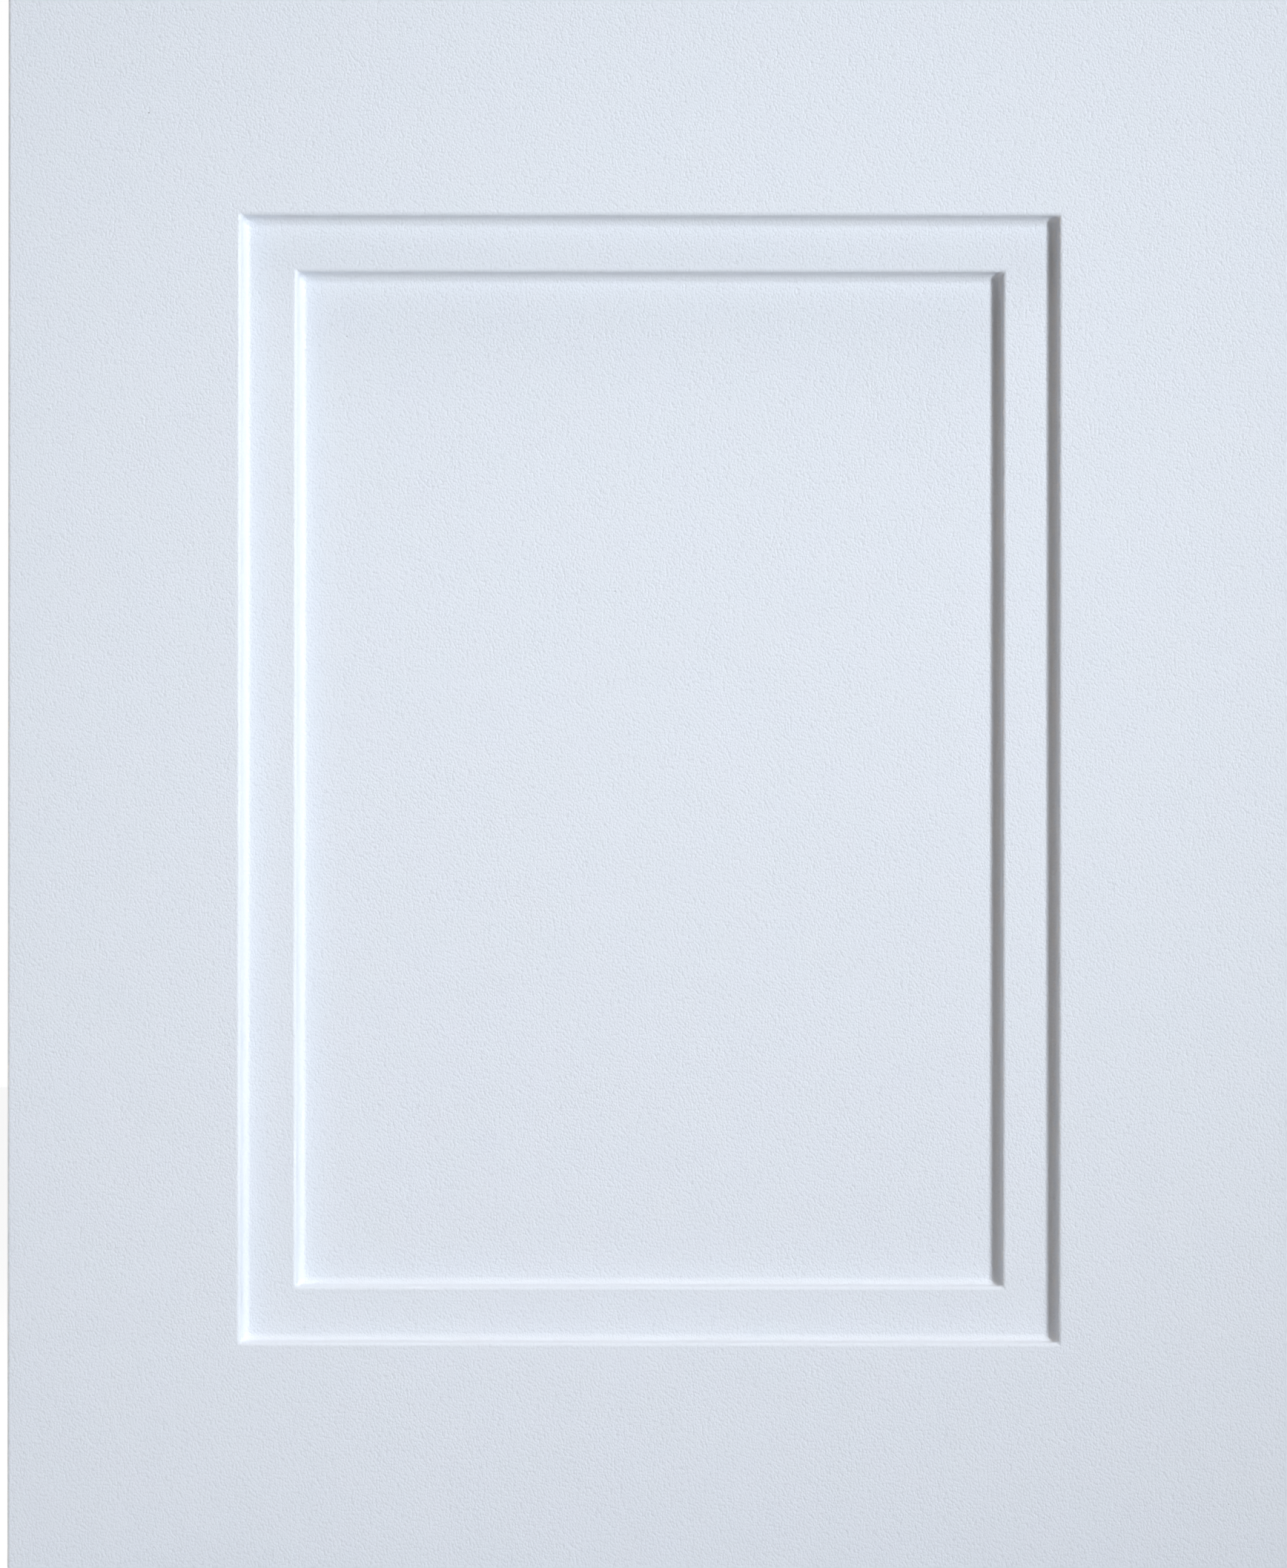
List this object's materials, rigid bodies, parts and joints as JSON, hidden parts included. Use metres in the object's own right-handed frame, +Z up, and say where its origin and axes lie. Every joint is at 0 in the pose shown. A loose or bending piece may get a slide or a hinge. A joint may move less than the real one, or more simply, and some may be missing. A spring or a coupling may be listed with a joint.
{
  "type": "kitchen cabinet door",
  "caption": "Board door with a rectangular centre panel let in by rounded, routed steps, a round front rim and cup hinge bores in its flat back; it closes a kitchen cupboard.",
  "frame": {"origin": "middle of the door's flat back face", "axes": "+Z up the door's height, +Y out of its back into the cupboard, so the front faces -Y and the hinge side is at -X"},
  "size_m": [0.3682, 0.019, 0.4572],
  "materials": {
    "white_foil": "satin white foil with a fine pebbled grain and a faint cool cast"
  },
  "bodies": {
    "root": {"door": "white_foil"}
  },
  "joints": []
}
